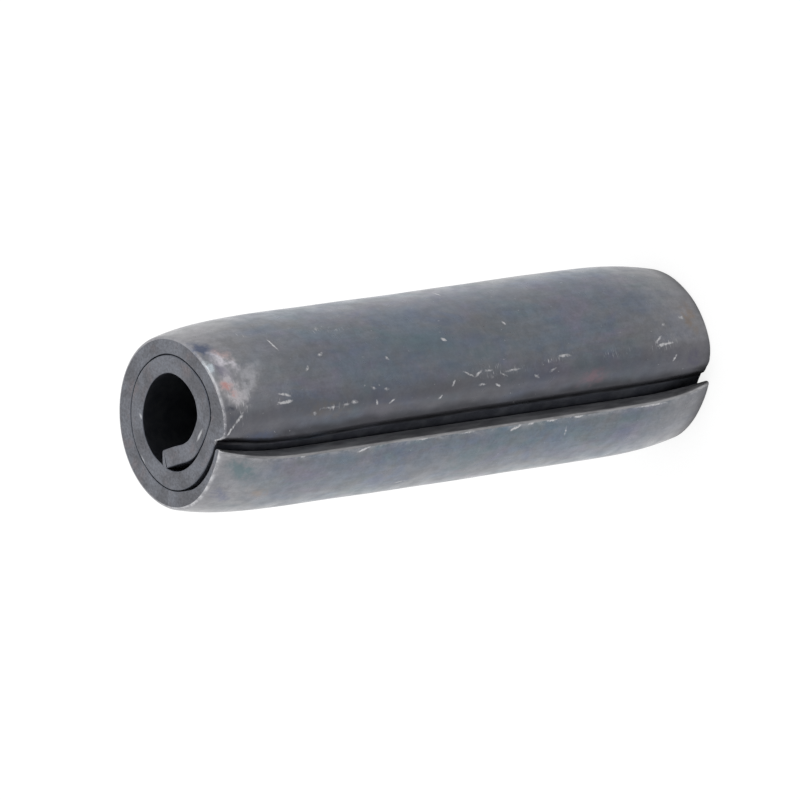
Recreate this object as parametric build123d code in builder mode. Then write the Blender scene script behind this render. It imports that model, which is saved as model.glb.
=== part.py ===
from build123d import *
import os
from math import acos, atan2, degrees, hypot, radians, sin, sqrt, tan

# Coiled spring pin: one strip of spring steel rolled up two and a quarter turns,
# with both ends swaged in so that it starts easily in its hole.
# Millimetres and degrees. The pin stands on one end: +Z runs along its axis, the
# origin is the middle of the lower end, and the strip's outer edge lies on +X.
# Seen from above, the strip runs counterclockwise from its inner tip outwards.

# Pin
pin_diameter = 12.6
pin_length = 40.0

# Strip
strip_thickness = 1.3
turn_gap = 0.08
edge_round = 0.3
rim_chamfer = 0.12

# Swaged ends: how long they are, how far each layer comes in at the end face, and how
# far the squeezed outer wrap closes the slot there
swage_length = 5.8
wrap_drop = 0.68
turn_drop = 0.4
lip_drop = 0.2
slot_closing = 0.7

# Outer wrap: the arc next to its edge, which lifts off the turn below at the ends,
# and the clearance of that edge as a share of the gap between turns
lip_arc = 55.0
edge_clearance_share = 0.4

# Jogs that lead from one turn out to the next, by the radius of the strip's middle
jog_bend_radius = 1.25

# Inner lip: straight, turned in across the bore, with a gap between its outer side and
# the turn around it; its tip is cut at a slant, and the tip's outer corner is chamfered
# and ends clear of that turn
inner_bend_radius = 2.0
inner_lip_turn = 43.5
inner_lip_gap = 0.52
inner_tip_slant = 40.0
inner_tip_chamfer = 0.45
inner_tip_clearance = 0.06

# Radii of the middle of the strip in each layer, and of the bore
half_thickness = strip_thickness / 2
turn_pitch = strip_thickness + turn_gap
wrap_radius = pin_diameter / 2 - half_thickness
ring_radius = wrap_radius - turn_pitch
core_radius = ring_radius - turn_pitch
bore_radius = ring_radius - half_thickness

# The jog starts just far enough before the outer edge for that rounded edge to rest
# clear of it
edge_radius = wrap_radius - half_thickness + edge_round
seat_radius = ring_radius + half_thickness + edge_round + edge_clearance_share * turn_gap
jog_lag = degrees(
    atan2(edge_round, edge_radius) + acos(seat_radius / hypot(edge_radius, edge_round))
)


def heading(angle):
    """Direction in the end face at this angle from +X."""
    return Vector(1, 0).rotate(Axis.Z, angle)


def jog_sizes(from_radius, to_radius):
    """Straight length and bend angle of the jog that joins two concentric turns."""
    straight = sqrt((to_radius - jog_bend_radius) ** 2 - (from_radius - jog_bend_radius) ** 2)
    return straight, degrees(atan2(straight, from_radius - jog_bend_radius))


core_straight, core_bend = jog_sizes(core_radius, ring_radius)
jog_straight, jog_bend = jog_sizes(ring_radius, wrap_radius)

# Inner run and lip, worked back from the jog into the ring: the bend between them
# touches both lines
run_outward = heading(-jog_lag)
run_heading = run_outward.rotate(Axis.Z, 90)
lip_outward = run_outward.rotate(Axis.Z, -inner_lip_turn)
lip_heading = lip_outward.rotate(Axis.Z, 90)
lip_offset = bore_radius - inner_lip_gap - half_thickness
bend_outward = core_radius - inner_bend_radius
bend_inward = lip_offset - inner_bend_radius
lip_slope = radians(inner_lip_turn)
bend_onward = bend_outward / tan(lip_slope) - bend_inward / sin(lip_slope)
inner_run_end = run_outward * core_radius + run_heading * core_straight
inner_run_start = run_outward * core_radius + run_heading * bend_onward
inner_bend_centre = inner_run_start - run_outward * inner_bend_radius
inner_lip_end = inner_bend_centre + lip_outward * inner_bend_radius

# Inner tip: the chamfer meets the lip's outer side at the clearance from the turn, and
# the cut starts from the full corner past it
side_reach = sqrt((bore_radius - inner_tip_clearance) ** 2 - (lip_offset + half_thickness) ** 2)
cut_lead = half_thickness * tan(radians(inner_tip_slant))
tip_reach = side_reach + inner_tip_chamfer - cut_lead
inner_tip = lip_outward * lip_offset - lip_heading * tip_reach

# Line that the middle of the strip follows, from the inner tip to the outer edge
with BuildLine() as coil:
    inner_lip = Line(inner_tip, inner_lip_end)
    inner_bend = JernArc(inner_lip @ 1, inner_lip % 1, inner_bend_radius, inner_lip_turn)
    inner_run = Line(inner_bend @ 1, inner_run_end)
    core_turn = JernArc(inner_run @ 1, inner_run % 1, jog_bend_radius, core_bend)
    ring_turn = JernArc(core_turn @ 1, core_turn % 1, ring_radius, 360 - core_bend)
    jog_run = Line(ring_turn @ 1, ring_turn @ 1 + (ring_turn % 1) * jog_straight)
    jog_turn = JernArc(jog_run @ 1, jog_run % 1, jog_bend_radius, jog_bend)
    wrap_arc = 360 + jog_lag - jog_bend - lip_arc
    wrap_turn = JernArc(jog_turn @ 1, jog_turn % 1, wrap_radius, wrap_arc)
    lip_turn = JernArc(wrap_turn @ 1, wrap_turn % 1, wrap_radius, lip_arc)


def strip_section(outer_drop, inner_drop):
    """Section of the strip along the pin, x outwards from its middle and y up the pin."""
    with BuildSketch() as section:
        with BuildLine():
            outer_foot = (half_thickness - outer_drop, 0)
            outer_side = (half_thickness, swage_length)
            inner_foot = (-half_thickness - inner_drop, 0)
            inner_side = (-half_thickness, swage_length)
            half_length = pin_length / 2
            TangentArc(outer_side, outer_foot, tangent=(0, -1))
            TangentArc(inner_side, inner_foot, tangent=(0, -1))
            Line(outer_foot, inner_foot)
            Line(outer_side, (half_thickness, half_length))
            Line(inner_side, (-half_thickness, half_length))
            mirror(about=Plane.XZ.offset(-half_length))
        make_face()
    return section.sketch


def with_broken_rims(plain_section):
    """The same section with its outer corners at both end faces chamfered."""
    with BuildSketch() as section:
        add(plain_section)
        ends = section.vertices().group_by(Axis.Y)
        chamfer([ends[0].sort_by(Axis.X)[-1], ends[-1].sort_by(Axis.X)[-1]], rim_chamfer)
    return section.sketch


tip_section = strip_section(turn_drop, turn_drop)
turn_section = with_broken_rims(tip_section)
wrap_section = with_broken_rims(strip_section(wrap_drop, turn_drop))
lip_section = with_broken_rims(strip_section(wrap_drop, lip_drop))


def across(line, place):
    """Plane across the strip at a share of this line: x outwards, y up the pin."""
    forward = line % place
    return Plane(line @ place, x_dir=forward.rotate(Axis.Z, -90), z_dir=-forward)


def is_long(edge):
    """Whether an edge of the strip runs along the pin."""
    size = edge.bounding_box().size
    return size.Z > size.X and size.Z > size.Y


# Outer lip: turned on past its edge, then trimmed to the edge that narrows the slot
# towards both ends
with BuildPart() as outer_lip:
    with BuildSketch(across(lip_turn, 0)):
        add(lip_section)
    lip_overrun = degrees(2 * slot_closing / wrap_radius)
    revolve(axis=Axis.Z, revolution_arc=lip_arc + lip_overrun)
    with BuildSketch(Plane.YZ.offset(ring_radius)):
        with BuildLine():
            closed_end = (slot_closing, 0)
            open_side = (0, swage_length)
            TangentArc(open_side, closed_end, tangent=(0, -1))
            Line(closed_end, (wrap_radius, 0))
            Line((wrap_radius, 0), (wrap_radius, pin_length / 2))
            Line(open_side, (0, pin_length / 2))
            mirror(about=Plane.XZ.offset(-pin_length / 2))
        make_face()
    extrude(amount=wrap_radius, mode=Mode.SUBTRACT)
    trimmed = outer_lip.edges(Select.LAST).filter_by(is_long)
    fillet(trimmed.filter_by(lambda edge: edge.center().X < wrap_radius), edge_round)

# Inner tip: the straight lip, cut at a slant and chamfered on the side of the ring
with BuildPart() as inner_tip_run:
    with BuildSketch(across(inner_lip, 1)):
        add(tip_section)
    extrude(amount=inner_lip.length + strip_thickness)
    slant = (inner_lip % 0).rotate(Axis.Z, -inner_tip_slant)
    split(bisect_by=Plane(inner_lip @ 0, z_dir=slant), keep=Keep.TOP)
    outward = Axis(inner_lip @ 0, lip_outward)
    tip_face = inner_tip_run.faces().sort_by(Axis(inner_lip @ 0, inner_lip % 0))[0]
    tip_edges = tip_face.edges().filter_by(is_long)
    chamfer(tip_edges.filter_by_position(outward, 0, strip_thickness), inner_tip_chamfer)
    end_edges = inner_tip_run.faces().filter_by(Plane.XY).edges()
    rim_foot = half_thickness - turn_drop
    corner_foot = rim_foot - inner_tip_chamfer
    chamfer(end_edges.filter_by_position(outward, corner_foot, rim_foot), rim_chamfer)

with BuildPart() as coiled_spring_pin:
    add(outer_lip.part)
    add(inner_tip_run.part)
    with BuildSketch(across(inner_run, 1)):
        add(turn_section)
    extrude(amount=inner_run.length)
    bends = [
        (inner_bend, turn_section),
        (core_turn, turn_section),
        (ring_turn, turn_section),
        (jog_turn, wrap_section),
        (wrap_turn, wrap_section),
    ]
    for line, section in bends:
        with BuildSketch(across(line, 0)):
            add(section)
        bend_arc = degrees(line.length / line.radius)
        revolve(axis=Axis(line.arc_center, (0, 0, 1)), revolution_arc=bend_arc)
    with BuildSketch(across(jog_run, 0)):
        add(turn_section)
    with BuildSketch(across(jog_run, 1)):
        add(wrap_section)
    loft(ruled=True)

coiled_spring_pin.part.label = "coiled_spring_pin"

os.makedirs("parts", exist_ok=True)
export_step(coiled_spring_pin.part, "parts/coiled_spring_pin.step")
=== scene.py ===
"""A coiled spring pin that stands on a white studio floor.

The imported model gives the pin's place and size. This script rolls the strip again as a
fine mesh, with its swaged ends, uneven edges and open slot, and gives it the blued and
worn finish of the real pin. Sizes are millimetres and degrees unless a name says
otherwise, and meshes are made in metres.
"""

import logging
import math
from dataclasses import dataclass, field, replace
from enum import Enum

import bpy
import numpy as np
from mathutils import Matrix, Vector


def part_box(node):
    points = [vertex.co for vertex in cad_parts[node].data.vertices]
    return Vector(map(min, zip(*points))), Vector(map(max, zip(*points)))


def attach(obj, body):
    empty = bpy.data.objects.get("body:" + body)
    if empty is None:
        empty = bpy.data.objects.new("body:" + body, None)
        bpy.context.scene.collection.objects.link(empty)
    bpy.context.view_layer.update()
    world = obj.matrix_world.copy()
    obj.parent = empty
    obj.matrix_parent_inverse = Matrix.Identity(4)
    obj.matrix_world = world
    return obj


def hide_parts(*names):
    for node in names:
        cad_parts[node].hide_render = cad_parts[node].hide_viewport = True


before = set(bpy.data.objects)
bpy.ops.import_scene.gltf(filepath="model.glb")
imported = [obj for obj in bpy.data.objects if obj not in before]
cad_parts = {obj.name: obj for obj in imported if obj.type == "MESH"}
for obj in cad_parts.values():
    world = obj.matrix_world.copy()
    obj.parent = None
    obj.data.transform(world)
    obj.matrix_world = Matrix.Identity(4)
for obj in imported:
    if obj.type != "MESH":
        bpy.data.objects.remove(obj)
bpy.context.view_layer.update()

log = logging.getLogger("spring_pin")

PIN_NODE = "coiled_spring_pin"
METRES = 0.001
OIL_ROUGHNESS = 0.25
WHITE = (1.0, 1.0, 1.0)
MIX_INPUTS = (0, 6, 7)
MIX_OUTPUT = 2
Pairs = tuple[tuple[float, float], ...]
Triple = tuple[float, float, float]
Colour = Triple
Socket = bpy.types.NodeSocket


class Surface(Enum):
    """Sides of the strip with a finish of their own; the value is the material's place."""

    ROLLED = 0
    INSIDE = 1
    SLIT = 2
    CUT = 3


@dataclass
class Strip:
    """The strip's middle line in plan, one row for each station from the inner tip on.

    Args:
        middle: Places of the middle line.
        outward: Unit directions across the strip, away from the coil's inside.
        onward: Unit directions along the strip, towards its outer edge.
        left: Lengths of strip that are left up to the outer edge.
        turn: Angles around the axis, unwound, zero at the outer edge.
    """

    middle: np.ndarray
    outward: np.ndarray
    onward: np.ndarray
    left: np.ndarray
    turn: np.ndarray


@dataclass
class Coil:
    """Plan of the rolled strip, counterclockwise from its inner tip to its outer edge.

    Args:
        pin_radius: Outer radius of the pin's body.
        jog_lag: How many degrees before the outer edge the last jog starts.
        inner_lip_offset: Distance of the inner lip's middle from the axis.
        inner_tip_reach: How far the lip goes on past its nearest point to the axis.
        edge_back: How far before the outer edge the stations stop.
    """

    pin_radius: float
    thickness: float = 1.3
    turn_gap: float = 0.08
    jog_lag: float = 11.6
    jog_bend_radius: float = 0.9
    core_bend_radius: float = 2.2
    inner_bend_radius: float = 2.0
    inner_lip_turn: float = 43.5
    inner_lip_offset: float = 2.45
    inner_tip_reach: float = 1.5
    edge_back: float = 0.3
    step: float = 0.2
    fine_step: float = 0.08

    def jog(self, inner: float, outer: float, bend: float) -> tuple[float, float]:
        """Sizes of the jog between two turns.

        Args:
            inner: Radius of the turn that the jog leaves.
            outer: Radius of the turn that it joins.
            bend: Radius of the bend between them.

        Returns:
            The straight length, and the angle of the bend after it.
        """
        rise = outer - bend
        run = inner - bend
        straight = math.sqrt(rise**2 - run**2)
        return straight, math.degrees(math.atan2(straight, run))

    def walk(self) -> Strip:
        """Follows the strip along its straights and arcs.

        Returns:
            The stations of the middle line, up to a short way before the outer edge.
        """
        pitch = self.thickness + self.turn_gap
        wrap = self.pin_radius - self.thickness / 2
        ring = wrap - pitch
        core = ring - pitch
        core_straight, core_bend = self.jog(core, ring, self.core_bend_radius)
        ring_straight, ring_bend = self.jog(ring, wrap, self.jog_bend_radius)
        lip_turn = math.radians(self.inner_lip_turn)
        bend_across = core - self.inner_bend_radius
        lip_across = self.inner_lip_offset - self.inner_bend_radius
        bend_along = bend_across / math.tan(lip_turn) - lip_across / math.sin(lip_turn)
        lip_length = self.inner_tip_reach
        lip_length += bend_across * math.sin(lip_turn) + bend_along * math.cos(lip_turn)
        wrap_turn = 360.0 + self.jog_lag - ring_bend
        core_length = self.core_bend_radius * math.radians(core_bend)
        jog_length = self.jog_bend_radius * math.radians(ring_bend)
        legs = [
            (lip_length, 0.0, self.step),
            (self.inner_bend_radius * lip_turn, self.inner_bend_radius, self.step),
            (core_straight - bend_along, 0.0, self.step),
            (core_length, self.core_bend_radius, self.step),
            (ring * math.radians(360.0 - core_bend), ring, self.step),
            (ring_straight, 0.0, self.fine_step),
            (jog_length, self.jog_bend_radius, self.fine_step),
            (wrap * math.radians(wrap_turn) - self.edge_back, wrap, self.step),
        ]
        across = math.radians(-self.jog_lag - self.inner_lip_turn)
        heading = across + math.pi / 2
        place = self.inner_lip_offset * np.array([math.cos(across), math.sin(across)])
        place = place - self.inner_tip_reach * np.array([math.cos(heading), math.sin(heading)])
        places, headings = [place], [heading]
        for length, radius, step in legs:
            count = max(2, round(length / step))
            part = length / count
            for _ in range(count):
                turned = part / radius if radius else 0.0
                chord = 2 * radius * math.sin(turned / 2) if radius else part
                bearing = heading + turned / 2
                place = place + chord * np.array([math.cos(bearing), math.sin(bearing)])
                heading += turned
                places.append(place)
                headings.append(heading)
        middle = np.array(places)
        bearings = np.array(headings)
        onward = np.stack([np.cos(bearings), np.sin(bearings)], axis=1)
        outward = np.stack([onward[:, 1], -onward[:, 0]], axis=1)
        steps = np.linalg.norm(np.diff(middle, axis=0), axis=1)
        left = self.edge_back + np.append(np.cumsum(steps[::-1])[::-1], 0.0)
        turn = np.degrees(np.unwrap(np.arctan2(middle[:, 1], middle[:, 0])))
        edge_turn = -math.degrees(self.edge_back / wrap)
        return Strip(middle, outward, onward, left, turn - turn[-1] + edge_turn)


@dataclass
class SwagedEnd:
    """The pressed-in last stretch of the pin.

    Args:
        outer: Depth of the strip's outer side at the end face, by the coil's angle.
        inner: Depth of its inner side there.
        length: How far from the end face the pressing reaches.
        power: How fast it eases into the straight body.
        closing: How far the outer edge is pushed on over the slot at the end face.
        closing_length: How far from the end face that reaches.
        closing_strip: How much of the strip before the edge goes with it.
        ease: How much less the whole end is pressed in.
        lip_lift: How far the lip by the outer edge springs back out.
        lip_lift_turn: How many degrees before the edge that starts.
        corner: How sharp the corner beside the slot is at the end face.
        corner_shift: How many degrees further on that corner lies at the end face.
        blend: How many stations to each side the depths are eased over.
    """

    outer: Pairs
    inner: Pairs
    length: float = 9.9
    power: float = 3.6
    closing: float = 0.7
    closing_length: float = 5.8
    closing_strip: float = 4.0
    ease: float = 0.0
    lip_lift: float = 0.0
    lip_lift_turn: float = 90.0
    corner: float = 1.0
    corner_shift: float = 0.0
    blend: int = 2

    def press(self, depth: float) -> float:
        """Share of the pressing at a depth below the end face."""
        return max(0.0, 1.0 - depth / self.length) ** self.power

    def drop(self, depths: Pairs, turn: np.ndarray) -> np.ndarray:
        """How far one side is pressed in at the end face.

        Args:
            depths: The side's depths.
            turn: The stations' angles, unwound.

        Returns:
            The distance at each station, less for the lip, which springs back out.
        """
        plain = np.pad(np.interp(turn, *zip(*depths)), self.blend, mode="edge")
        window = 2 * self.blend + 1
        eased = np.convolve(plain, np.ones(window) / window, mode="valid")
        reach = np.clip(1.0 + turn / self.lip_lift_turn, 0.0, 1.0)
        return eased - (self.ease + self.lip_lift * reach)

    def close(self, depth: float, left: np.ndarray) -> np.ndarray:
        """How far the strip is pushed on at a depth below the end face.

        Args:
            depth: Distance from the end face.
            left: Length of strip left at each station.

        Returns:
            The push at each station.
        """
        share = max(0.0, 1.0 - depth / self.closing_length) ** 2
        reach = np.clip(1.0 - left / self.closing_strip, 0.0, 1.0) ** 2
        return self.closing * share * reach


@dataclass
class EdgeCut:
    """The strip's cut edge in plan: a slanted line between two rounded corners.

    Args:
        back: How far past the last station the middle of the edge lies.
        slant: Slant of the edge in degrees.
        outer_round: Length that the outer corner's rounding takes.
        inner_round: Length that the inner corner's rounding takes.
    """

    back: float
    slant: float
    outer_round: float
    inner_round: float
    corner_points: int = 5

    def corner(
        self, before: np.ndarray, at: np.ndarray, after: np.ndarray, size: float
    ) -> np.ndarray:
        """Points of one rounded corner.

        Args:
            before: A point before the corner.
            at: The corner.
            after: A point after it.
            size: Length that the rounding takes from each side.

        Returns:
            The points, in order.
        """
        start = at + (before - at) / np.linalg.norm(before - at) * size
        end = at + (after - at) / np.linalg.norm(after - at) * size
        share = np.linspace(0.0, 1.0, self.corner_points)[:, None]
        return (1 - share) ** 2 * start + 2 * share * (1 - share) * at + share**2 * end

    def points(self, outer: np.ndarray, inner: np.ndarray, ahead: np.ndarray) -> np.ndarray:
        """The edge's points from the outer side round to the inner side.

        Args:
            outer: Last point of the outer side.
            inner: Last point of the inner side.
            ahead: Unit direction off the end of the strip.

        Returns:
            The points, in order.
        """
        lean = np.linalg.norm(outer - inner) / 2 * math.tan(math.radians(self.slant))
        outer_corner = outer + ahead * (self.back + lean)
        inner_corner = inner + ahead * max(self.back - lean, self.inner_round)
        room = np.linalg.norm(outer_corner - inner_corner) / (self.outer_round + self.inner_round)
        share = min(1.0, room)
        first = self.corner(outer, outer_corner, inner_corner, self.outer_round * share)
        second = self.corner(outer_corner, inner_corner, inner, self.inner_round * share)
        return np.vstack([first, second])


@dataclass(frozen=True)
class Mark:
    """A scratch, nick or stain: a thin oval between two places on a surface laid flat.

    Args:
        across: One end's place around the pin in degrees, or its x on an end face.
        up: Its place up the pin in millimetres, or its y on an end face.
        to_across: The other end's place around the pin, or its x.
        to_up: Its place up the pin, or its y.
        width: Full width in millimetres.
        strength: How strongly it shows.
    """

    across: float
    up: float
    to_across: float
    to_up: float
    width: float
    strength: float


@dataclass(frozen=True)
class Tint(Mark):
    """A patch of heat colour or stain, or of painted shade."""

    colour: Colour


def marks(*rows: tuple[float, ...]) -> tuple[Mark, ...]:
    """Marks from rows of their values."""
    return tuple(Mark(*row) for row in rows)


# Marks seen in the photograph come first, then those made up for the hidden sides
NICKS_AND_HIGHLIGHTS = marks(
    (76.5, 34.7, 66.5, 34.4, 0.17, 2.6), (39, 35.7, 36.8, 34.8, 0.22, 1.6),
    (33.4, 35.9, 33.8, 34.7, 0.26, 2), (59, 31.6, 60, 31.3, 0.26, 1.2),
    (50.6, 33, 52.6, 32.8, 0.22, 1.3), (28, 30, 27.5, 29.6, 0.28, 1.1),
    (26.9, 30.7, 27, 30.3, 0.22, 0.8), (24.7, 33, 24.1, 32.9, 0.28, 1.3),
    (26.3, 31, 26.8, 32.5, 0.16, 0.7), (26.8, 28, 24.7, 27.9, 0.18, 1.8),
    (24, 26.9, 26.2, 26.5, 0.18, 1.2), (34.6, 28.3, 34, 28.1, 0.24, 0.8),
    (32.8, 27.3, 32.6, 27, 0.22, 0.7), (51.6, 26.6, 50.2, 26.4, 0.18, 1.4),
    (58, 21.6, 57.1, 21.4, 0.26, 2.4), (63.8, 16.3, 62.2, 16.2, 0.22, 1.4),
    (102, 19.1, 96, 19, 0.22, 1), (22.1, 22.8, 23.8, 22.6, 0.2, 1.5),
    (29.3, 21.8, 31.7, 21.6, 0.2, 1.6), (36.5, 20.8, 32.6, 20, 0.18, 1.2),
    (32.2, 19.9, 35.6, 19.3, 0.2, 1.7), (35.2, 19.1, 34.6, 18.4, 0.16, 0.9),
    (32.4, 17.8, 30, 17.3, 0.16, 1), (33, 17.4, 33.2, 16.1, 0.18, 1),
    (27.3, 19.6, 27.2, 19.1, 0.22, 0.9), (26.2, 18.2, 24.6, 17.8, 0.18, 1.1),
    (37.4, 12.9, 37, 11.9, 0.2, 1.4), (28.8, 13.8, 30.7, 13.2, 0.16, 0.7),
    (28.2, 15, 26.8, 14.7, 0.26, 0.8), (36.8, 4.8, 41, 4.1, 0.16, 1.4),
    (35, 4.7, 35.8, 3.3, 0.22, 2.2), (24.4, 3.4, 28, 3.1, 0.2, 1.5),
    (51.1, 2.1, 50.7, 1.9, 0.26, 1.2), (47.3, 3.8, 47.5, 3.6, 0.22, 0.9),
    # Of these rows, (30.9, 38.6) to (24.7, 39.2) and (24.9, 39.2) to (17, 39.9) are painted
    # highlights of a creased facet at the swaged corner, not nicks
    (-7, 12.1, -14, 12, 0.16, 0.8), (30.9, 38.6, 24.7, 39.2, 0.24, 1.6),
    (24.9, 39.2, 17, 39.9, 0.2, 1.8), (128, 33.2, 134, 32.4, 0.18, 1.6),
    (141, 27.6, 140.2, 27, 0.24, 1.3), (147, 12.4, 153, 12.9, 0.18, 1.4),
    (119, 7.3, 121, 6.2, 0.2, 1.6), (164, 35.1, 166, 34.2, 0.22, 1.4),
    (168, 20.6, 167.2, 19.8, 0.2, 1.1), (-171, 24.9, -166, 24.3, 0.17, 1.5),
    (-158, 30.8, -157.2, 30.2, 0.26, 1.2), (-149, 15.8, -151, 14.5, 0.18, 1.5),
    (-140, 9, -139, 8.7, 0.24, 1.3), (-128, 21.7, -121, 22.3, 0.16, 1.3),
    (-117, 34.6, -115, 33.6, 0.22, 1.6), (-108, 4.6, -104, 4.1, 0.2, 1.5),
    (-96, 27.3, -95.4, 26.4, 0.2, 1.2), (-84, 13.4, -77, 12.6, 0.17, 1.4),
    (-71, 31.9, -70, 31.5, 0.24, 1.2), (-62, 18.6, -63, 17.6, 0.18, 1.3),
    (-49, 6.8, -44, 6.3, 0.18, 1.4), (-38, 24.6, -36, 23.9, 0.18, 1.2),
)
EDGE_NICKS = marks(
    (-4.2, 16.8, -1, 16, 0.26, 2.2), (-1.8, 15.4, -1, 15, 0.22, 1.6),
    (-1.4, 13.9, -1.1, 13.1, 0.2, 2), (-1.8, 11.6, -0.8, 10.9, 0.26, 1.8),
    (-1.1, 6.6, -1.3, 3.7, 0.2, 1.8), (-3.5, 29.4, -1, 28.4, 0.24, 1.8),
    (-1.2, 25, -1, 23, 0.16, 1), (-1.2, 21, -1, 19.8, 0.18, 1.2),
    (-0.6, 34.1, -0.9, 33.7, 0.26, 2.4),
)
SCUFFS = marks(
    (78.5, 31.8, 76.8, 28, 0.7, 0.9), (35, 20.6, 33, 15.6, 0.95, 1.3),
    (33.8, 15.6, 37.6, 11.6, 0.6, 1), (33, 9.4, 36, 7, 0.8, 0.8), (35, 5, 37.5, 3, 1.1, 1.3),
    (26.6, 33.4, 27.4, 29.4, 0.5, 0.9), (36, 36.2, 36, 34.4, 0.7, 0.9),
    (84.4, 36.6, 83.6, 35.6, 0.5, 0.9), (58, 39, 30, 38.6, 2, 0.9), (44, 37.9, 22, 39, 1, 0.8),
    (140, 31, 136, 22, 0.9, 1), (158, 9, 150, 3, 1.2, 1), (-156, 21, -152, 13, 0.9, 1.1),
    (-118, 37, -104, 35, 1.2, 0.9), (-92, 12, -88, 4, 1, 1), (-66, 29, -60, 20, 0.8, 1),
)
END_NICKS = marks(
    (3.22, 1.12, 2.94, 0.18, 0.24, 1.6), (-3.15, -0.86, -2.92, -0.98, 0.3, 1.2),
    (3.58, 2.92, 3.45, 3.02, 0.26, 1.2), (-2.3, -3.35, -1.7, -3.72, 0.16, 1),
)
TINTS = (
    Tint(55, 33, 48, 12, 5.5, 0.4, (0.145, 0.195, 0.235)),
    Tint(92, 30, 88, 6, 5, 0.3, (0.205, 0.215, 0.265)),
    Tint(20, 40.6, 20, 33, 3, 0.55, (0.14, 0.145, 0.168)),
    Tint(84, 39.6, 72, 39.2, 2, 0.85, (0.08, 0.105, 0.18)),
    Tint(72, 38.9, 61, 38.4, 2, 0.95, (0.78, 0.75, 0.81)),
    Tint(75.5, 38.7, 70, 38.3, 1.2, 0.7, (0.56, 0.37, 0.35)),
    Tint(62, 39.5, 53, 38.9, 1.6, 0.85, (0.11, 0.1, 0.19)),
    Tint(68, 39.8, 58, 39.8, 1, 0.95, (0.66, 0.74, 0.8)),
    Tint(56, 39.3, 38, 38.6, 2.3, 0.9, (0.68, 0.65, 0.68)),
    Tint(50, 39.4, 45, 38.9, 1.1, 0.85, (0.64, 0.33, 0.31)),
    Tint(62, 36.6, 40, 38.3, 1.6, 0.65, (0.56, 0.56, 0.6)),
    Tint(33.5, 39.5, 33.2, 39.3, 0.5, 0.8, (0.06, 0.06, 0.08)),
    Tint(38, 39.5, 22, 39.3, 1.2, 0.6, (0.12, 0.13, 0.16)),
    Tint(-3, 38.9, -13, 37.4, 2.2, 0.65, (0.115, 0.2, 0.22)),
    Tint(-24, 36.8, -31, 35.8, 1.6, 0.55, (0.33, 0.26, 0.215)),
    Tint(-28, 39.3, -34, 38.6, 1.4, 0.6, (0.115, 0.135, 0.23)),
    Tint(14, 38, 13, 35.6, 1.2, 0.6, (0.09, 0.115, 0.19)),
    Tint(27, 34, 24, 30, 2, 0.45, (0.205, 0.18, 0.155)),
    Tint(20.6, 10.7, 21.4, 9.2, 1.7, 0.55, (0.27, 0.165, 0.195)),
    Tint(58, 1.3, 43, 1.2, 1.6, 0.55, (0.31, 0.23, 0.165)),
    Tint(27, 1.4, 20, 1.5, 1.6, 0.55, (0.13, 0.125, 0.19)),
)
# Painted shade above the slot, where the lip shades the jog's wall; both marks reach far past the
# ends, so that they don't fade there
PAINTED_SLOT_SHADE = (
    Tint(22, 140, 22, -100, 4.6, 0.6, (0.105, 0.103, 0.124)),
    Tint(12, 140, 12, -100, 1.7, 0.9, (0.06, 0.06, 0.07)),
)


@dataclass(frozen=True)
class Grain:
    """Noise in a surface, with its scale in features to a millimetre.

    Where low and high differ, it is eased from first at the low level to last at the high
    one. Stretch scales each axis, and turn and shift reach another part of the noise.
    """

    scale: float
    detail: float
    rough: float
    low: float = 0.0
    high: float = 0.0
    first: float = 0.0
    last: float = 1.0
    warp: float = 0.0
    stretch: Triple = (1.0, 1.0, 1.0)
    turn: float = 0.0
    shift: float = 0.0


@dataclass(frozen=True)
class Stir:
    """How drawn marks are moved about: features to a millimetre, and the furthest move."""

    scale: float
    reach: float


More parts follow.
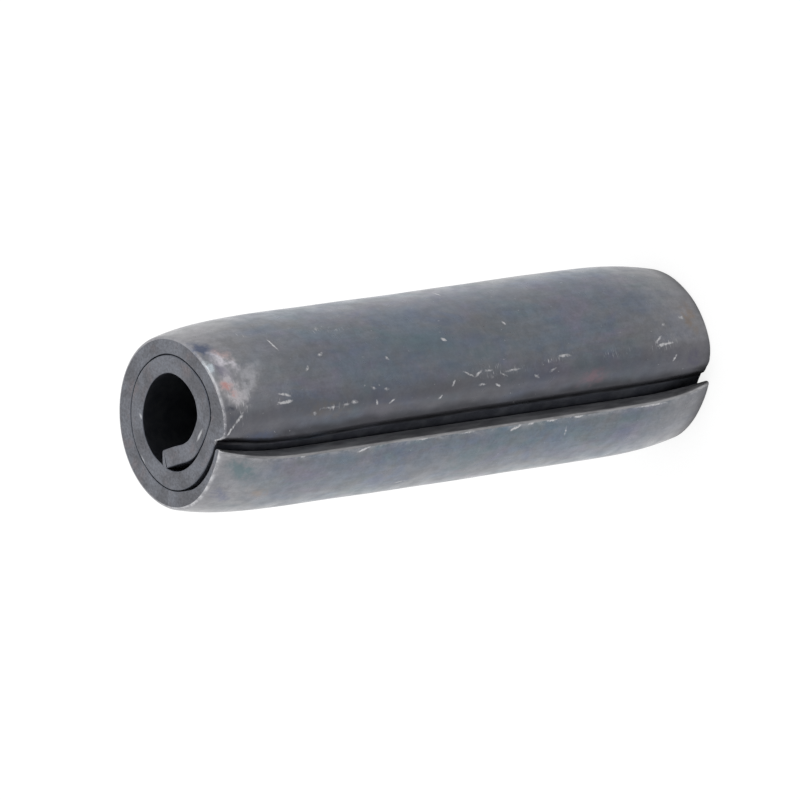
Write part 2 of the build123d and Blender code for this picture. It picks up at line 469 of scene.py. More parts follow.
class NodeBench:
    """Makes and joins the shader nodes of one material."""

    def __init__(self, name: str) -> None:
        """Starts an empty material, with the shaded point in the pin's own millimetres.

        Args:
            name: The material's name.
        """
        self.material = bpy.data.materials.new(name)
        self.material.use_nodes = True
        self.tree = self.material.node_tree
        self.tree.nodes.clear()
        here = self.node("TexCoord").outputs["Object"]
        unit = 1.0 / METRES
        self.place = self.put("VectorMath", here, (unit, unit, unit), operation="MULTIPLY")

    def node(self, kind: str, **settings: object) -> bpy.types.Node:
        """Adds a node.

        Args:
            kind: The end of the node type's name.
            settings: Values of the node's own properties.

        Returns:
            The node.
        """
        made = self.tree.nodes.new("ShaderNode" + kind)
        for name, value in settings.items():
            setattr(made, name, value)
        return made

    def feed(self, socket: Socket, value: object) -> None:
        """Links a socket to another, or sets its value.

        Args:
            socket: The input to feed.
            value: A socket, number, vector or colour.
        """
        if isinstance(value, Socket):
            self.tree.links.new(value, socket)
        elif isinstance(value, tuple) and len(value) == 3 and socket.type == "RGBA":
            socket.default_value = (*value, 1.0)
        else:
            socket.default_value = value

    def put(self, kind: str, *values: object, **settings: object) -> Socket:
        """Adds a node and feeds its first inputs.

        Args:
            kind: The end of the node type's name.
            values: What its inputs get, in order.
            settings: Values of the node's own properties.

        Returns:
            Its first output.
        """
        made = self.node(kind, **settings)
        for socket, value in zip(made.inputs, values):
            self.feed(socket, value)
        return made.outputs[0]

    def math(self, operation: str, *values: object, clamp: bool = False) -> Socket:
        """Does one sum, and keeps its result between 0 and 1 if it is to be clamped."""
        return self.put("Math", *values, operation=operation, use_clamp=clamp)

    def span(
        self, value: object, low: float, high: float, first: float = 0.0, last: float = 1.0
    ) -> Socket:
        """Eases a value from the range low to high into the range first to last."""
        limits = (low, high, first, last)
        return self.put("MapRange", value, *limits, interpolation_type="SMOOTHSTEP")

    def mix(self, share: object, first: object, second: object) -> Socket:
        """Mixes two colours.

        Args:
            share: Share of the second colour.
            first: The first colour.
            second: The second colour.

        Returns:
            The mixed colour.
        """
        made = self.node("Mix", data_type="RGBA")
        for index, value in zip(MIX_INPUTS, (share, first, second)):
            self.feed(made.inputs[index], value)
        return made.outputs[MIX_OUTPUT]

    def shade(self, colour: object, tone: object) -> Socket:
        """A colour times a tone."""
        return self.put("VectorMath", colour, tone, operation="MULTIPLY")

    def noise(self, place: object, scale: float, **settings: float) -> bpy.types.Node:
        """Adds a noise texture.

        Args:
            place: Where it is read.
            scale: Features to a millimetre.
            settings: Values of its other inputs.

        Returns:
            The texture's node.
        """
        made = self.node("TexNoise", noise_dimensions="3D")
        self.feed(made.inputs["Vector"], place)
        for name, value in {"Scale": scale, **settings}.items():
            made.inputs[name].default_value = value
        return made

    def grain(self, grain: Grain, flat: object = None) -> Socket:
        """Reads a noise at the shaded point.

        Args:
            grain: The noise.
            flat: The flat place, to read it there instead.

        Returns:
            The result's socket.
        """
        shift = (grain.shift, grain.shift, grain.shift)
        turn = (0.0, 0.0, math.radians(grain.turn))
        place = self.place if flat is None else flat
        place = self.put("Mapping", place, shift, turn, grain.stretch)
        settings = {"Detail": grain.detail, "Roughness": grain.rough, "Distortion": grain.warp}
        noise = self.noise(place, grain.scale, **settings).outputs["Fac"]
        if grain.low == grain.high:
            return noise
        return self.span(noise, grain.low, grain.high, grain.first, grain.last)

    def shaken(self, flat: object, stir: Stir) -> Socket:
        """Moves a flat place about by noise, so that what is drawn there gets uneven edges.

        Args:
            flat: The flat place.
            stir: How it is moved about.

        Returns:
            The moved place.
        """
        shake = self.noise(self.place, stir.scale).outputs["Color"]
        reach = (stir.reach, stir.reach, 0.0)
        sweep = (2 * stir.reach, 2 * stir.reach, 0.0)
        moved = self.put("VectorMath", shake, sweep, flat, operation="MULTIPLY_ADD")
        return self.put("VectorMath", moved, reach, operation="SUBTRACT")

    def unrolled(self, radius: float) -> Socket:
        """Lays the pin's outside flat: x around the pin, y up it, in millimetres.

        Args:
            radius: The radius that turns angles into lengths.

        Returns:
            The flat place.
        """
        split = self.node("SeparateXYZ")
        self.feed(split.inputs[0], self.place)
        around = self.math("ARCTAN2", split.outputs["Y"], split.outputs["X"])
        return self.put("CombineXYZ", self.math("MULTIPLY", around, radius), split.outputs["Z"])

    def blot(self, flat: object, mark: Mark, unit: float) -> Socket:
        """Strength of one mark at the shaded point, from 1 in its middle to 0 at its rim.

        Args:
            flat: The flat place.
            mark: The mark.
            unit: Millimetres in one unit of the mark's first coordinate.

        Returns:
            The strength's socket.
        """
        along = (mark.to_across - mark.across) * unit
        up = mark.to_up - mark.up
        middle = ((mark.across + mark.to_across) / 2 * unit, (mark.up + mark.to_up) / 2, 0.0)
        turn = (0.0, 0.0, math.atan2(up, along))
        size = ((math.hypot(along, up) + mark.width) / 2, mark.width / 2, 1.0)
        place = self.put("Mapping", flat, middle, turn, size, vector_type="TEXTURE")
        ball = self.node("TexGradient", gradient_type="SPHERICAL")
        self.feed(ball.inputs["Vector"], place)
        return ball.outputs["Fac"]

    def marks(self, flat: object, marks: tuple[Mark, ...], unit: float) -> Socket:
        """All these marks together.

        Args:
            flat: The flat place.
            marks: The marks.
            unit: Millimetres in one unit of the marks' first coordinate.

        Returns:
            A socket that holds their summed strength.
        """
        total: object = 0.0
        for mark in marks:
            total = self.math("MULTIPLY_ADD", self.blot(flat, mark, unit), mark.strength, total)
        return total

    def wear(self) -> Socket:
        """The wear that the mesh carries."""
        return self.node("Attribute", attribute_name="wear").outputs["Fac"]

    def finish(
        self, colour: object, roughness: object, bump: object, height: float, oil: float = 0.0
    ) -> bpy.types.Material:
        """Joins the material up as bare or oxidised metal.

        Args:
            colour: Base colour.
            roughness: Roughness.
            bump: The fine relief, from 0 to 1.
            height: Full height of that relief in millimetres.
            oil: Weight of the oil film over the metal.

        Returns:
            The material.
        """
        relief = self.node("Bump")
        self.feed(relief.inputs["Height"], bump)
        relief.inputs["Distance"].default_value = height * METRES
        shader = self.node("BsdfPrincipled")
        settings = {
            "Base Color": colour,
            "Roughness": roughness,
            "Metallic": 1.0,
            "Coat Weight": oil,
            "Coat Roughness": OIL_ROUGHNESS,
            "Normal": relief.outputs[0],
        }
        for name, value in settings.items():
            self.feed(shader.inputs[name], value)
        self.feed(self.node("OutputMaterial").inputs["Surface"], shader.outputs[0])
        return self.material


@dataclass(frozen=True)
class BluedSide:
    """Rolled outside of the strip: satin black oxide with heat colours, nicks and wear, painted
    shade along the slot and two painted highlights by the upper rim.

    Args:
        radius: Radius of the pin's body.
        length: The pin's length.
    """

    radius: float
    length: float
    slate: Colour = (0.180, 0.214, 0.262)
    grey: Colour = (0.212, 0.222, 0.246)
    teal: Colour = (0.125, 0.205, 0.225)
    blue: Colour = (0.140, 0.178, 0.270)
    violet: Colour = (0.225, 0.200, 0.275)
    brown: Colour = (0.205, 0.205, 0.205)
    ends: Colour = (0.310, 0.305, 0.320)
    bare: Colour = (0.66, 0.66, 0.68)
    end_reach: float = 7.5
    oil: float = 0.3
    relief: float = 0.010
    fine_relief: float = 0.4
    nick_depth: float = 0.8
    least_wear: float = 0.05
    end_start: float = 3.5
    end_shake: float = 7.0
    end_share: float = 0.8
    scuff_levels: tuple[float, ...] = (0.60, 0.74)
    line_levels: tuple[float, ...] = (0.76, 0.82, 0.0, 0.3)
    band_levels: tuple[float, ...] = (0.0, 0.85, 0.0)
    tint_levels: tuple[float, ...] = (0.0, 0.95, 0.0)
    band_stir: Stir = Stir(0.5, 0.5)
    tint_stir: Stir = Stir(1.5, 0.5)
    nick_stir: Stir = Stir(4.0, 0.09)
    scuff_stir: Stir = Stir(1.2, 0.3)
    ground: Grain = Grain(0.3, 4.0, 0.6, 0.36, 0.62, warp=0.5, stretch=(1.0, 1.0, 0.55))
    patch: Grain = Grain(
        0.34, 5.0, 0.62, 0.48, 0.70, 0.0, 0.55, 0.7, stretch=(1.0, 1.0, 0.6), shift=3.7
    )
    mottle: Grain = Grain(1.3, 4.0, 0.6, 0.3, 0.7, 0.92, 1.09, 0.4)
    fine: Grain = Grain(6.0, 3.0, 0.65, 0.3, 0.7, 0.95, 1.06)
    drawn: Grain = Grain(2.6, 3.0, 0.6, 0.3, 0.7, 0.95, 1.06, stretch=(1.0, 1.0, 0.12))
    shake: Grain = Grain(0.45, 4.0, 0.65)
    broken: Grain = Grain(1.7, 4.0, 0.68, 0.3, 0.7, 0.35, 1.5)
    grit: Grain = Grain(6.0, 2.0, 0.6, 0.35, 0.62, 0.3, 1.25)
    worn: Grain = Grain(2.2, 5.0, 0.75, 0.4, 0.62, stretch=(1.0, 1.0, 0.6))
    specks: Grain = Grain(3.6, 2.0, 0.5, 0.72, 0.80, 0.0, 0.35)
    line: Grain = Grain(1.0, 2.0, 0.6, stretch=(1.3, 7.5, 1.0))
    line_parts: Pairs = ((38.0, 3.0), (-35.0, 9.0), (84.0, 15.0))
    roughness: Grain = Grain(0.9, 4.0, 0.6, 0.3, 0.7, 0.27, 0.42)
    coarse_bumps: Grain = Grain(0.8, 2.0, 0.5)
    fine_bumps: Grain = Grain(5.0, 3.0, 0.6)
    # Nicks, with two painted highlights among them
    nicks: tuple[Mark, ...] = NICKS_AND_HIGHLIGHTS
    edge_nicks: tuple[Mark, ...] = EDGE_NICKS
    scuffs: tuple[Mark, ...] = SCUFFS
    tints: tuple[Tint, ...] = TINTS
    painted_slot_shade: tuple[Tint, ...] = PAINTED_SLOT_SHADE

    def build(self) -> bpy.types.Material:
        """Makes the material.

        Returns:
            The material.
        """
        bench = NodeBench("blued_side")
        flat = bench.unrolled(self.radius)
        colour = self.stains_and_painted_shade(bench, flat)
        # Nicks and two painted highlights show as bare metal and dent the relief
        nicks = self.nicks + self.edge_nicks
        nick_and_highlight_marks = bench.marks(bench.shaken(flat, self.nick_stir), nicks, self.degree())
        nick_and_highlight_marks = bench.math("MULTIPLY", nick_and_highlight_marks, bench.grain(self.grit), clamp=True)
        bare = bench.math("ADD", nick_and_highlight_marks, self.scratches(bench, flat), clamp=True)
        broken = (bench.grain(self.worn), 1.0 - self.least_wear, self.least_wear)
        worn = bench.math("MULTIPLY", bench.wear(), bench.math("MULTIPLY_ADD", *broken))
        colour = bench.mix(bench.math("ADD", bare, worn, clamp=True), colour, self.bare)
        relief = bench.math("MULTIPLY", bench.grain(self.fine_bumps), self.fine_relief)
        relief = bench.math("ADD", relief, bench.grain(self.coarse_bumps))
        relief = bench.math("SUBTRACT", relief, bench.math("MULTIPLY", nick_and_highlight_marks, self.nick_depth))
        return bench.finish(colour, bench.grain(self.roughness), relief, self.relief, self.oil)

    def degree(self) -> float:
        """Millimetres in one degree around the pin."""
        return math.radians(self.radius)

    def stains_and_painted_shade(self, bench: NodeBench, flat: object) -> Socket:
        """The oxide with the painted shade along the slot and the heat colours.

        Args:
            bench: The material's bench.
            flat: The flat place.

        Returns:
            Its colour.
        """
        colour = self.oxide(bench)
        soft = bench.shaken(flat, self.band_stir)
        # Painted shade beside the slot, where the lip shades the jog's wall
        for band in self.painted_slot_shade:
            spread = bench.blot(soft, band, self.degree())
            share = bench.span(spread, *self.band_levels, band.strength)
            colour = bench.mix(share, colour, band.colour)
        torn = bench.shaken(flat, self.tint_stir)
        broken = bench.grain(self.broken)
        for tint in self.tints:
            spread = bench.math("MULTIPLY", broken, bench.blot(torn, tint, self.degree()))
            share = bench.span(spread, *self.tint_levels, tint.strength)
            colour = bench.mix(share, colour, tint.colour)
        return colour

    def oxide(self, bench: NodeBench) -> Socket:
        """The mottled oxide under the marks, rubbed towards the ends.

        Args:
            bench: The material's bench.

        Returns:
            Its colour.
        """
        colour = bench.mix(bench.grain(self.ground), self.grey, self.slate)
        patches = (
            (self.teal, self.patch),
            (self.violet, replace(self.patch, scale=0.42, shift=11.3)),
            (self.blue, replace(self.patch, scale=0.5, shift=23.9)),
            (self.brown, replace(self.patch, scale=0.38, shift=41.1)),
        )
        for shade, patch in patches:
            colour = bench.mix(bench.grain(patch), colour, shade)
        split = bench.node("SeparateXYZ")
        bench.feed(split.inputs[0], bench.place)
        below = bench.math("SUBTRACT", self.length, split.outputs["Z"])
        inward = bench.math("MINIMUM", split.outputs["Z"], below)
        inward = bench.math("MULTIPLY_ADD", bench.grain(self.shake), self.end_shake, inward)
        reach = self.end_start + self.end_reach
        rubbed = bench.span(inward, self.end_start, reach, self.end_share, 0.0)
        colour = bench.mix(rubbed, colour, self.ends)
        tone = bench.grain(self.mottle)
        for grain in (self.fine, self.drawn):
            tone = bench.math("MULTIPLY", tone, bench.grain(grain))
        return bench.shade(colour, tone)

    def scratches(self, bench: NodeBench, flat: object) -> Socket:
        """Fine scratches, dense in the scuffed places and few elsewhere, and bare specks.

        Args:
            bench: The material's bench.
            flat: The flat place.

        Returns:
            Their strength.
        """
        scuffed = bench.marks(bench.shaken(flat, self.scuff_stir), self.scuffs, self.degree())
        lines: object = 0.0
        for turn, shift in self.line_parts:
            line = bench.grain(replace(self.line, turn=turn, shift=shift), flat)
            lines = bench.math("MAXIMUM", lines, line)
        dense = bench.math("MULTIPLY", bench.span(lines, *self.scuff_levels), scuffed)
        few = bench.math("ADD", bench.span(lines, *self.line_levels), bench.grain(self.specks))
        return bench.math("ADD", dense, few, clamp=True)


@dataclass(frozen=True)
class DarkInside:
    """Inner side of the strip, in the bore and the seams, and the outer side past the slot: dark
    oxide, painted darker than the rolled side as painted shade in the bore, seams and slot.
    """

    colour: Colour = (0.100, 0.108, 0.132)
    pale: Colour = (0.160, 0.168, 0.192)
    bare: Colour = (0.40, 0.41, 0.43)
    roughness: float = 0.5
    relief: float = 0.01
    cloud: Grain = Grain(0.8, 4.0, 0.6, 0.35, 0.7)
    broken: Grain = Grain(3.0, 3.0, 0.6, 0.4, 0.65, 0.15, 0.9)
    bumps: Grain = Grain(7.0, 3.0, 0.6)

    def build(self) -> bpy.types.Material:
        """Makes the material.

        Returns:
            The material.
        """
        bench = NodeBench("dark_inside")
        colour = bench.mix(bench.grain(self.cloud), self.colour, self.pale)
        worn = bench.math("MULTIPLY", bench.wear(), bench.grain(self.broken), clamp=True)
        colour = bench.mix(worn, colour, self.bare)
        return bench.finish(colour, self.roughness, bench.grain(self.bumps), self.relief)


@dataclass(frozen=True)
class SlitEdge:
    """Slit edge of the strip, along the open slot."""

    dark: Colour = (0.220, 0.220, 0.230)
    pale: Colour = (0.460, 0.460, 0.470)
    bare: Colour = (0.66, 0.66, 0.68)
    roughness: float = 0.55
    relief: float = 0.012
    wear_power: float = 3.0
    streak: Grain = Grain(1.4, 4.0, 0.6, 0.3, 0.7, stretch=(1.0, 3.0, 0.25))
    chips: Grain = Grain(1.6, 5.0, 0.7, 0.42, 0.62, 0.25, 1.0, stretch=(1.0, 1.0, 0.5))
    bumps: Grain = Grain(8.0, 3.0, 0.6)

    def build(self) -> bpy.types.Material:
        """Makes the material.

        Returns:
            The material.
        """
        bench = NodeBench("slit_edge")
        colour = bench.mix(bench.grain(self.streak), self.dark, self.pale)
        rim = bench.math("POWER", bench.wear(), self.wear_power)
        worn = bench.math("MULTIPLY", rim, bench.grain(self.chips))
        colour = bench.mix(worn, colour, self.bare)
        return bench.finish(colour, self.roughness, bench.grain(self.bumps), self.relief)


@dataclass(frozen=True)
class CutEnd:
    """Cut and ground end face: matte grey with a fine grain."""

    pale: Colour = (0.205, 0.214, 0.240)
    dark: Colour = (0.150, 0.153, 0.168)
    warm: Colour = (0.215, 0.198, 0.210)
    bare: Colour = (0.52, 0.53, 0.55)
    pit: Colour = (0.055, 0.055, 0.065)
    relief: float = 0.012
    wear_power: float = 16.0
    nick_stir: Stir = Stir(4.0, 0.06)
    cloud: Grain = Grain(0.45, 4.0, 0.6, 0.38, 0.62, warp=0.5)
    warmth: Grain = Grain(0.8, 4.0, 0.6, 0.5, 0.7, 0.0, 0.8)
    pits: Grain = Grain(2.6, 5.0, 0.7, 0.28, 0.40, 0.45, 0.0)
    scored: Grain = Grain(
        1.1, 3.0, 0.65, 0.62, 0.78, 0.0, 0.3, stretch=(6.0, 0.5, 1.0), turn=28.0
    )
    broken: Grain = Grain(2.2, 4.0, 0.7, 0.4, 0.65, 0.2, 1.0)
    grit: Grain = Grain(5.5, 4.0, 0.75)
    grit_tones: tuple[float, ...] = (0.3, 0.7, 0.72, 1.34)
    grit_roughness: tuple[float, ...] = (0.3, 0.7, 0.52, 0.7)
    nicks: tuple[Mark, ...] = END_NICKS

    def build(self) -> bpy.types.Material:
        """Makes the material.

        Returns:
            The material.
        """
        bench = NodeBench("cut_end")
        colour = bench.mix(bench.grain(self.cloud), self.dark, self.pale)
        colour = bench.mix(bench.grain(self.warmth), colour, self.warm)
        grit = bench.grain(self.grit)
        colour = bench.shade(colour, bench.span(grit, *self.grit_tones))
        colour = bench.mix(bench.grain(self.pits), colour, self.pit)
        flat = bench.put("VectorMath", bench.place, (1.0, 1.0, 0.0), operation="MULTIPLY")
        nicks = bench.marks(bench.shaken(flat, self.nick_stir), self.nicks, 1.0)
        bright = bench.math("ADD", bench.grain(self.scored), nicks)
        rim = bench.math("POWER", bench.wear(), self.wear_power)
        worn = bench.math("MULTIPLY", rim, bench.grain(self.broken))
        colour = bench.mix(bench.math("ADD", bright, worn, clamp=True), colour, self.bare)
        rough = bench.span(grit, *self.grit_roughness)
        return bench.finish(colour, rough, grit, self.relief)


@dataclass
class CoiledPin:
    """The pin: a strip rolled up two and a quarter turns, with both its ends swaged.

    Args:
        coil: Plan of the strip.
        length: Length of the pin.
        near: The upper end, which faces the camera.
        far: The lower end, which it stands on.
        outer_edge: The strip's edge along the slot.
        inner_tip: Its other edge, in the bore.
        waves: Size, count around, count up and start of each wave in the surface.
        body_corner: How sharp the corner beside the slot is in the body.
        slot_turn: Angle where the jog comes out from under the wrap.
        shoulder: Share of the pull along the strip, by angle, beside the slot.
        shoulder_pull: That pull by height, which makes the slot's side wave.
        corner_wear: Wear of each point of the outer edge's first corner.
        lip_wear: Wear added to the lower end of the outer edge.
    """

    coil: Coil
    length: float
    near: SwagedEnd
    far: SwagedEnd
    outer_edge: EdgeCut = field(default_factory=lambda: EdgeCut(0.3, 8.0, 0.15, 0.28))
    inner_tip: EdgeCut = field(default_factory=lambda: EdgeCut(0.0, 38.0, 0.5, 0.12))
    rim_round: float = 0.16
    seam_round: float = 0.06
    body_step: float = 0.8
    waves: tuple[tuple[float, ...], ...] = (
        (0.012, 3, 0.21, 0.0), (0.0084, 5, -0.33, 1.0), (0.0072, 2, 0.9, 0.0),
    )
    body_corner: float = 0.25
    slot_turn: float = -349.0
    slot_blend: float = 5.0
    shoulder: Pairs = ((-366, 0), (-353, 1), (-338, 1), (-322, 0))
    shoulder_pull: Pairs = (
        (0, 0), (5, 0.12), (20, 0.16), (28, 0.24), (33, 0.42), (36, 0.36),
        (38.5, 0.1), (40, 0),
    )
    corner_wear: tuple[float, ...] = (0.5, 0.85, 0.9, 0.8, 0.4)
    corner_start_wear: float = 0.12
    middle_wear: float = 0.75
    worn_end: float = 3.0
    lip_wear: float = 0.5
    rim_wear_depth: float = 0.13
    inner_rim_wear: float = 0.15
    sharp_angle: float = 50.0
    end_depths: tuple[float, ...] = (
        0.0, 0.012, 0.04, 0.09, 0.16, 0.3, 0.5, 0.8, 1.2, 1.7, 2.3, 3.0, 3.8, 4.7, 5.7, 6.9, 8.3,
    )

    def heights(self) -> list[float]:
        """Heights of the mesh's rings, close together at the ends.

        Returns:
            The heights, from the lower end up.
        """
        start, stop = self.far.length, self.length - self.near.length
        count = round((stop - start) / self.body_step)
        body = [start + (stop - start) * step / count for step in range(count + 1)]
        lower = list(self.end_depths)
        upper = [self.length - depth for depth in reversed(self.end_depths)]
        return lower + body + upper

    def rounding(self, depth: float, radius: float) -> float:
        """How far a rounded rim stands back.

        Args:
            depth: Distance from the end face.
            radius: The rim's radius.

        Returns:
            The distance that it stands back there.
        """
        if depth >= radius:
            return 0.0
        return radius - math.sqrt(radius**2 - (radius - depth) ** 2)

    def ring(self, strip: Strip, height: float) -> np.ndarray:
        """Outline of the strip at one height.

        Args:
            strip: The strip's stations.
            height: Height above the lower end face.

        Returns:
            The outline's points: outer side, outer edge, inner side, inner tip.
        """
        end, depth = self.far, height
        if height > self.length / 2:
            end, depth = self.near, self.length - height
        half = self.coil.thickness / 2
        press = end.press(depth)
        sharp = self.body_corner + (end.corner - self.body_corner) * press
        filled = sharp * np.interp(strip.turn - end.corner_shift * press, *zip(*CORNER_FILL))
        outer = strip.middle + strip.outward * half
        outer *= 1.0 + (filled / np.linalg.norm(outer, axis=1))[:, None]
        inner = strip.middle - strip.outward * half
        for side, depths in ((outer, end.outer), (inner, end.inner)):
            drop = press * end.drop(depths, strip.turn)
            side *= (1.0 - drop / np.linalg.norm(side, axis=1))[:, None]
        blend = (self.slot_turn, self.slot_turn + self.slot_blend)
        rims = np.interp(strip.turn, blend, (self.seam_round, self.rim_round))
        back = np.array([self.rounding(depth, rim) for rim in rims])
        outer -= strip.outward * back[:, None]
        inner += strip.outward * self.rounding(depth, self.seam_round)
        pull = np.interp(height, *zip(*self.shoulder_pull))
        outer -= strip.onward * (pull * np.interp(strip.turn, *zip(*self.shoulder)))[:, None]
        push = end.close(depth, strip.left)[:, None]
        outer += strip.onward * push
        inner += strip.onward * push
        edge = self.outer_edge.points(outer[-1], inner[-1], strip.onward[-1])
        tip = self.inner_tip.points(outer[0], inner[0], -strip.onward[0])
        line = np.vstack([outer, edge, inner[::-1], tip[::-1]])
        around = np.arctan2(line[:, 1], line[:, 0])
        swell = np.zeros(len(line))
        for size, across, up, start in self.waves:
            swell += size * np.sin(across * around + up * height + start)
        return line * (1.0 + swell / self.coil.pin_radius)[:, None]

    def wear(self, strip: Strip, height: float) -> np.ndarray:
        """How worn each point of the outline is at one height, with a painted highlight along part
        of the ring's outer rim.

        Args:
            strip: The strip's stations.
            height: Height above the lower end face.

        Returns:
            The wear, from 0 to 1, in the outline's order.
        """
        depth = min(height, self.length - height)
        stations = len(strip.turn)
        points = self.outer_edge.corner_points
        outer = np.interp(strip.turn, *zip(*RIM_WEAR_AND_HIGHLIGHT))
        inner = np.full(stations + 2 * points, self.inner_rim_wear)
        rims = np.concatenate([outer, np.ones(2 * points), inner])
        rims *= max(0.0, 1.0 - depth / self.rim_wear_depth)
        corner = np.zeros(len(rims))
        corner[stations : stations + points] = self.corner_wear
        fresh = max(0.0, 1.0 - depth / self.worn_end)
        corner *= self.middle_wear + (1.0 - self.middle_wear) * fresh
        corner[stations - 1] = self.corner_start_wear
        lip = max(0.0, 1.0 - height / self.worn_end)
        corner[stations : stations + 2 * points] += self.lip_wear * lip
        return np.clip(np.maximum(rims, corner), 0.0, 1.0)

    def faces(self, strip: Strip, rings: int) -> tuple[list[tuple[int, ...]], list[int]]:
        """Faces of the closed mesh.

        Args:
            strip: The strip's stations.
            rings: Number of rings.

        Returns:
            The faces as tuples of points, and the finish of each.
        """
        stations = len(strip.turn)
        cut = 2 * self.outer_edge.corner_points
        around = 2 * stations + 2 * cut
        # Past slot_turn the outer side takes the darker inside finish, which paints shade into the
        # slot
        shown = strip.turn > self.slot_turn
        sides = [Surface.ROLLED if seen else Surface.INSIDE for seen in shown]
        sides += [Surface.SLIT] * (cut - 1)
        sides += [Surface.INSIDE] * stations + [Surface.CUT] * (cut + 1)
        faces, finishes = [], []
        for level in range(rings - 1):
            low, high = level * around, (level + 1) * around
            for point in range(around):
                after = (point + 1) % around
                faces.append((low + point, low + after, high + after, high + point))
                finishes.append(sides[point].value)
        top = (rings - 1) * around
        last = 2 * stations + cut - 1
        rungs = [(step, step + 1, last - step - 1, last - step) for step in range(stations - 1)]
        rungs.append(tuple(range(stations - 1, stations + cut + 1)))
        rungs.append(tuple(range(last, around)) + (0,))
        for rung in rungs:
            faces.append(tuple(top + point for point in rung))
            faces.append(tuple(reversed(rung)))
            finishes += [Surface.CUT.value] * 2
        return faces, finishes

    def build(self, finishes: dict[Surface, bpy.types.Material]) -> bpy.types.Object:
        """Makes the pin's mesh and dresses it.

        Args:
            finishes: The material of each side.

        Returns:
            The pin, riding on the frame's body in place of the CAD node.
        """
        strip = self.coil.walk()
        heights = self.heights()
        points, wear = [], []
        for height in heights:
            line = self.ring(strip, height)
            points += [(x * METRES, y * METRES, height * METRES) for x, y in line]
            wear.append(self.wear(strip, height))
        faces, kinds = self.faces(strip, len(heights))
        mesh = bpy.data.meshes.new("rolled_strip")
        mesh.from_pydata(points, [], faces)
        for surface in Surface:
            mesh.materials.append(finishes[surface])
        mesh.polygons.foreach_set("material_index", kinds)
        flat = len(faces) - 2 * (len(strip.turn) + 1)
        mesh.polygons.foreach_set("use_smooth", [index < flat for index in range(len(faces))])
        worn = mesh.attributes.new("wear", "FLOAT", "POINT")
        worn.data.foreach_set("value", np.concatenate(wear))
        mesh.update()
        mesh.validate()
        mesh.set_sharp_from_angle(angle=math.radians(self.sharp_angle))
        pin = bpy.data.objects.new("rolled_pin", mesh)
        bpy.context.scene.collection.objects.link(pin)
        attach(pin, "root")
        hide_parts(PIN_NODE)
        return pin


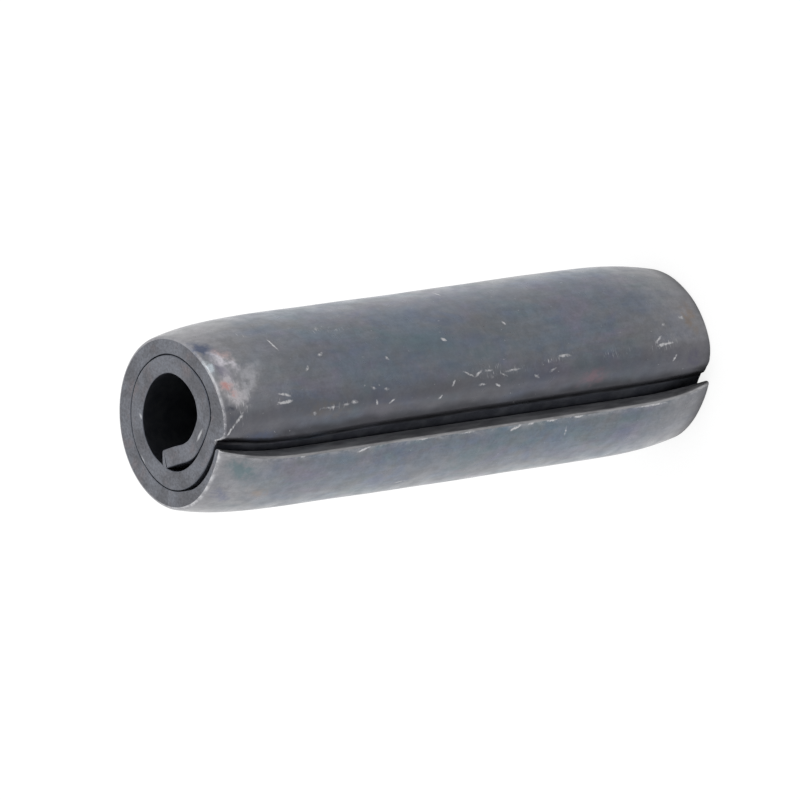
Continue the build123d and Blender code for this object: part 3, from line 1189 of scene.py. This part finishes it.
@dataclass
class Studio:
    """White floor, even soft light and the camera of the photograph.

    Args:
        camera_place: The camera, in metres.
        aim: The point that it looks at, in metres.
        camera_up: The way up in its picture.
        lamp_place: The lamp, in metres; it points at the origin.
        front_tone: The floor's mirrored brightness in front of the pin.
        back_tone: The same behind it.
        front_turn: Angle of the front, from +X.
        tone_limits: Shares of the way to the front between which the tone eases.
        shade_limits: Distances from the axis, in millimetres, between which painted shade under the
            pin darkens it.
        shade_tone: Brightness left under the pin by that painted shade.
        bounce: The floor's colour to diffuse rays.
        glow: The floor's own brightness to the camera.
        shadow_share: Colour of its part that takes shadows, to the camera.
    """

    camera_place: Vector = field(default_factory=lambda: Vector((0.545708, 0.323713, 0.498368)))
    aim: Vector = field(default_factory=lambda: Vector((-0.000297, -0.000895, 0.020948)))
    camera_up: Vector = field(default_factory=lambda: Vector((-0.431545, 0.894754, -0.114823)))
    lens: float = 548.93
    picture_width: float = 36.0
    clip: tuple[float, float] = (0.01, 20.0)
    lamp_place: Triple = (-0.1, 0.6, 0.7)
    lamp_size: float = 0.5
    lamp_power: float = 0.6
    floor_size: float = 6.0
    front_tone: float = 0.66
    back_tone: float = 1.0
    front_turn: float = 47.0
    tone_limits: tuple[float, float] = (-0.6, 0.9)
    shade_limits: tuple[float, float] = (5.0, 6.5)
    shade_tone: float = 0.02
    least_distance: float = 1.0
    bounce: Colour = (0.8, 0.8, 0.8)
    glow: float = 0.80
    shadow_share: Colour = (0.26, 0.26, 0.26)

    def camera(self) -> bpy.types.Object:
        """Sets up the camera.

        Returns:
            The camera.
        """
        data = bpy.data.cameras.new("camera")
        data.lens = self.lens
        data.sensor_width = self.picture_width
        data.clip_start, data.clip_end = self.clip
        camera = bpy.data.objects.new("camera", data)
        back = (self.camera_place - self.aim).normalized()
        right = self.camera_up.cross(back).normalized()
        up = back.cross(right)
        turned = Matrix((right, up, back)).transposed().to_4x4()
        camera.matrix_world = Matrix.Translation(self.camera_place) @ turned
        bpy.context.scene.collection.objects.link(camera)
        bpy.context.scene.camera = camera
        return camera

    def world(self) -> None:
        """Lights the scene evenly from all round."""
        world = bpy.data.worlds.new("soft_white")
        world.use_nodes = True
        sky = world.node_tree.nodes["Background"]
        sky.inputs["Color"].default_value = (1.0, 1.0, 1.0, 1.0)
        sky.inputs["Strength"].default_value = 1.0
        bpy.context.scene.world = world

    def lamp(self) -> bpy.types.Object:
        """A large soft lamp above the side that is up in the picture.

        Returns:
            The lamp.
        """
        data = bpy.data.lights.new("soft_lamp", "AREA")
        data.size = self.lamp_size
        data.energy = self.lamp_power
        lamp = bpy.data.objects.new("soft_lamp", data)
        lamp.location = self.lamp_place
        lamp.rotation_euler = (-Vector(lamp.location)).to_track_quat("-Z", "Y").to_euler()
        bpy.context.scene.collection.objects.link(lamp)
        return lamp

    def floor(self) -> bpy.types.Object:
        """White floor, dimmer in front of the pin where its metal mirrors it, with painted shade
        under the pin.

        Returns:
            The floor.
        """
        half = self.floor_size / 2
        corners = [(-half, -half, 0.0), (half, -half, 0.0), (half, half, 0.0), (-half, half, 0.0)]
        mesh = bpy.data.meshes.new("floor")
        mesh.from_pydata(corners, [], [(0, 1, 2, 3)])
        bench = NodeBench("white_floor")
        path = bench.node("LightPath").outputs
        mirrored = bench.math("MAXIMUM", path["Is Glossy Ray"], path["Is Transmission Ray"])
        bounced = bench.put("BsdfDiffuse", self.bounce)
        glow = bench.put("Emission", WHITE, self.glow)
        shown = bench.put("AddShader", glow, bench.put("BsdfDiffuse", self.shadow_share))
        plain = bench.put("MixShader", path["Is Camera Ray"], bounced, shown)
        mirror_image = bench.put("Emission", WHITE, self.mirrored_tone(bench))
        out = bench.put("MixShader", mirrored, plain, mirror_image)
        bench.feed(bench.node("OutputMaterial").inputs["Surface"], out)
        mesh.materials.append(bench.material)
        floor = bpy.data.objects.new("floor", mesh)
        bpy.context.scene.collection.objects.link(floor)
        return floor

    def mirrored_tone(self, bench: NodeBench) -> Socket:
        """Brightness of the floor where metal mirrors it, with painted shade under the pin.

        Args:
            bench: The floor material's bench.

        Returns:
            The brightness.
        """
        front = math.radians(self.front_turn)
        facing = (math.cos(front), math.sin(front), 0.0)
        away = bench.node("VectorMath", operation="LENGTH")
        forward = bench.node("VectorMath", operation="DOT_PRODUCT")
        for measure in (away, forward):
            bench.feed(measure.inputs[0], bench.place)
        forward.inputs[1].default_value = facing
        distance = away.outputs["Value"]
        apart = bench.math("ADD", distance, self.least_distance)
        ahead = bench.math("DIVIDE", forward.outputs["Value"], apart)
        tone = bench.span(ahead, *self.tone_limits, self.back_tone, self.front_tone)
        # Painted shade under the pin, since the glow seen in the metal takes no shadow
        shade = bench.span(distance, *self.shade_limits, self.shade_tone)
        return bench.math("MULTIPLY", tone, shade)


# An angle of the coil, unwound and zero at the outer edge, and a value there: the depth
# of either side at an end face, the filling of the corner beside the slot, and the wear
OUTER_DEPTHS: Pairs = (
    (-810, 0.42), (-757, 0.44), (-745, 0.44), (-733, 0.36), (-722, 0.26), (-710, 0.2), (-700, 0.2),
    (-692, 0.2), (-685, 0.14), (-680, 0.18), (-670, 0.27), (-660, 0.31), (-643, 0.43), (-613, 0.45),
    (-583, 0.6), (-523, 0.65), (-471, 0.75), (-433, 0.6), (-388, 0.6), (-358, 0.43), (-348, 0.45),
    (-343, 0.52), (-340, 0.42), (-338, 0.25), (-334, 0.24), (-332, 0.36), (-330, 0.41),
    (-320, 0.38), (-298, 0.5), (-283, 0.62), (-250, 0.68), (-70, 0.7), (-45, 0.8), (-30, 0.92),
    (-15, 1), (0, 0.92),
)
INNER_DEPTHS: Pairs = (
    (-810, 0.36), (-783, 0.32), (-757, 0.34), (-745, 0.36), (-733, 0.28), (-722, 0.12),
    (-710, 0.02), (-700, 0.06), (-692, 0.18), (-684, 0.28), (-677, 0.36), (-643, 0.35),
    (-610, 0.35), (-583, 0.5), (-553, 0.65), (-500, 0.6), (-455, 0.7), (-430, 0.55), (-390, 0.45),
    (-360, 0.21), (-350, 0.21), (-340, 0.29), (-335, 0.36), (-330, 0.56), (-325, 0.45),
    (-320, 0.34), (-310, 0.27), (-300, 0.27), (-283, 0.42), (-250, 0.5), (-220, 0.64), (-165, 0.69),
    (-110, 0.79), (-75, 0.65), (-58, 0.6), (-50, 0.56), (-45, 0.47), (-38, 0.39), (-24, 0.3),
    (-12, 0.22), (0, 0.15),
)
CORNER_FILL: Pairs = (
    (-360, 0), (-353, -0.06), (-347.2, 0), (-344.8, 0.46), (-343.5, 0.55), (-342, 0.55),
    (-340, 0.42), (-337, 0.25), (-333, 0.12), (-328, 0.05), (-320, 0),
)
# Rim wear at the end faces; from -560 to -440 it is also a painted highlight along the ring's outer
# rim
RIM_WEAR_AND_HIGHLIGHT: Pairs = (
    (-600, 0.05), (-560, 0.4), (-440, 0.4), (-400, 0.05), (-352, 0.2), (-345, 0.9), (-335, 0.9),
    (-318, 0.65), (-303, 0.6), (-285, 0.1), (-95, 0.05), (-65, 0.75), (0, 1),
)


def main() -> None:
    """Builds the studio and the pin, and reports each piece."""
    logging.basicConfig(level=logging.INFO, format="%(name)s: %(message)s")
    scene = bpy.context.scene
    scene.view_settings.view_transform = "Standard"
    studio = Studio()
    studio.world()
    studio.lamp()
    studio.floor()
    studio.camera()
    log.info("studio: floor, world, lamp and camera")
    low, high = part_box(PIN_NODE)
    radius = round((high[0] - low[0]) / 2 / METRES, 1)
    length = round((high[2] - low[2]) / METRES, 1)
    far = SwagedEnd(OUTER_DEPTHS, INNER_DEPTHS, ease=0.02, lip_lift=0.36, corner=0.6)
    near = SwagedEnd(OUTER_DEPTHS, INNER_DEPTHS, corner_shift=2.8)
    pin = CoiledPin(Coil(radius), length, near, far)
    finishes = {
        Surface.ROLLED: BluedSide(radius, length).build(),
        Surface.INSIDE: DarkInside().build(),
        Surface.SLIT: SlitEdge().build(),
        Surface.CUT: CutEnd().build(),
    }
    made = pin.build(finishes)
    log.info("%s: %d faces", made.name, len(made.data.polygons))


if __name__ == "__main__":
    main()
